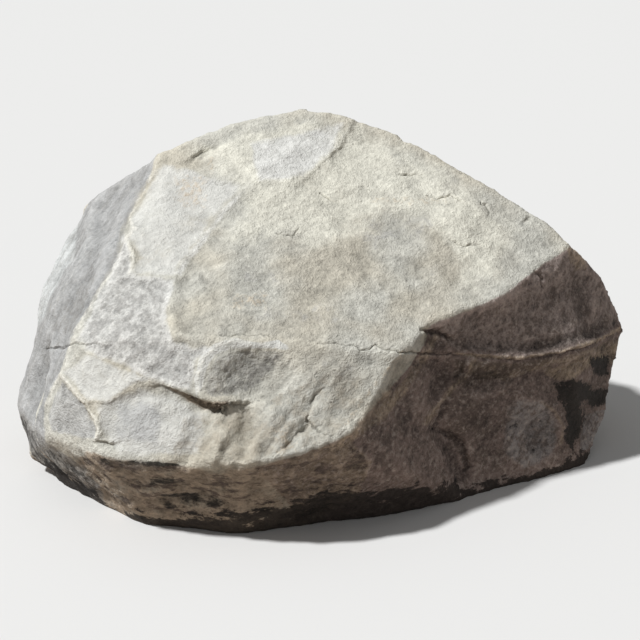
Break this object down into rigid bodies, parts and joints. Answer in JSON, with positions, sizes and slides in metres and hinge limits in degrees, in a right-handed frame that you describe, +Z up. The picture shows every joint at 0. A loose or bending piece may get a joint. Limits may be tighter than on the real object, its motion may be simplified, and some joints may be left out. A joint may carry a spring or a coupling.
{
  "type": "boulder",
  "caption": "Broken, weathered boulder with one large sloping face, stepped fracture ledges, a rib on its right side and an undercut front above a flat base.",
  "frame": {"origin": "middle of the bounding box's footprint, on the flat base", "axes": "+X along the boulder's length, +Z up; the large sloping face looks up and towards -Y"},
  "size_m": [0.9044, 0.6522, 0.4855],
  "materials": {
    "stone": "rough, dry and weathered"
  },
  "bodies": {
    "root": {"boulder": "stone"}
  },
  "joints": []
}
